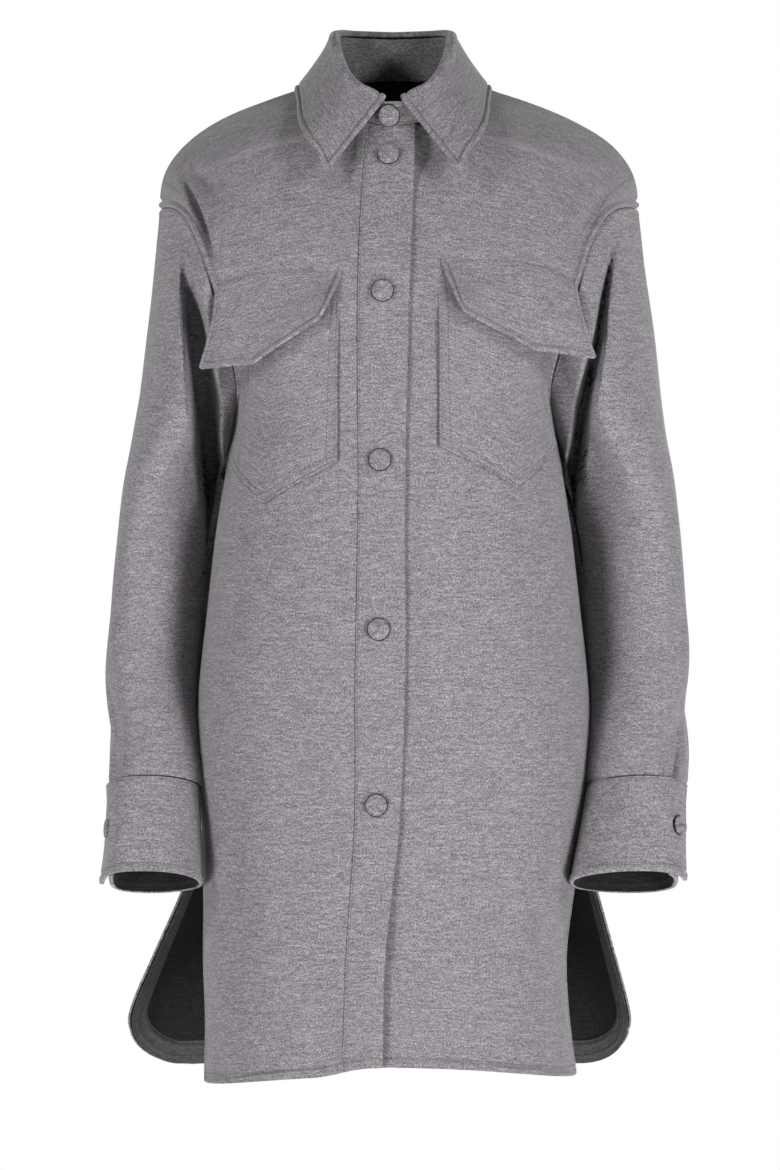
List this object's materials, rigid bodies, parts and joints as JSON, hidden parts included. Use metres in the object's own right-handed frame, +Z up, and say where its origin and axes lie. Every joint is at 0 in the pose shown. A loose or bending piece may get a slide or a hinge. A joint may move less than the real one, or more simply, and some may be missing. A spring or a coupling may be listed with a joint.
{
  "type": "utility coat",
  "caption": "Long oversized wool utility coat worn buttoned up, with a pointed collar, flapped chest pockets, buttoned cuffs, side vents and a longer rounded back tail.",
  "frame": {"origin": "middle of the neck at shoulder level, where the wearer's shoulders hold the coat", "axes": "+Z up the coat towards the collar, -Y out of the buttoned front, +X towards the wearer's left"},
  "size_m": [0.545, 0.3035, 0.9828],
  "materials": {
    "wool": "milled melange wool, matt with a short nap",
    "facing": "wool facing with a bound edge, matt",
    "button": "covered with the coat's own wool, matt"
  },
  "bodies": {
    "root": {"front_right": "wool", "front_left": "wool", "back": "wool", "sleeve_right": "wool", "sleeve_left": "wool", "cuff_right": "wool", "cuff_left": "wool", "collar_stand": "wool", "collar_leaf": "wool", "placket": "wool", "pocket_right": "wool", "pocket_left": "wool", "flap_right": "wool", "flap_left": "wool", "back_hem_facing": "facing", "button_1": "button", "button_2": "button", "button_3": "button", "button_4": "button", "button_5": "button", "button_6": "button", "cuff_button_right": "button", "cuff_button_left": "button"}
  },
  "joints": []
}
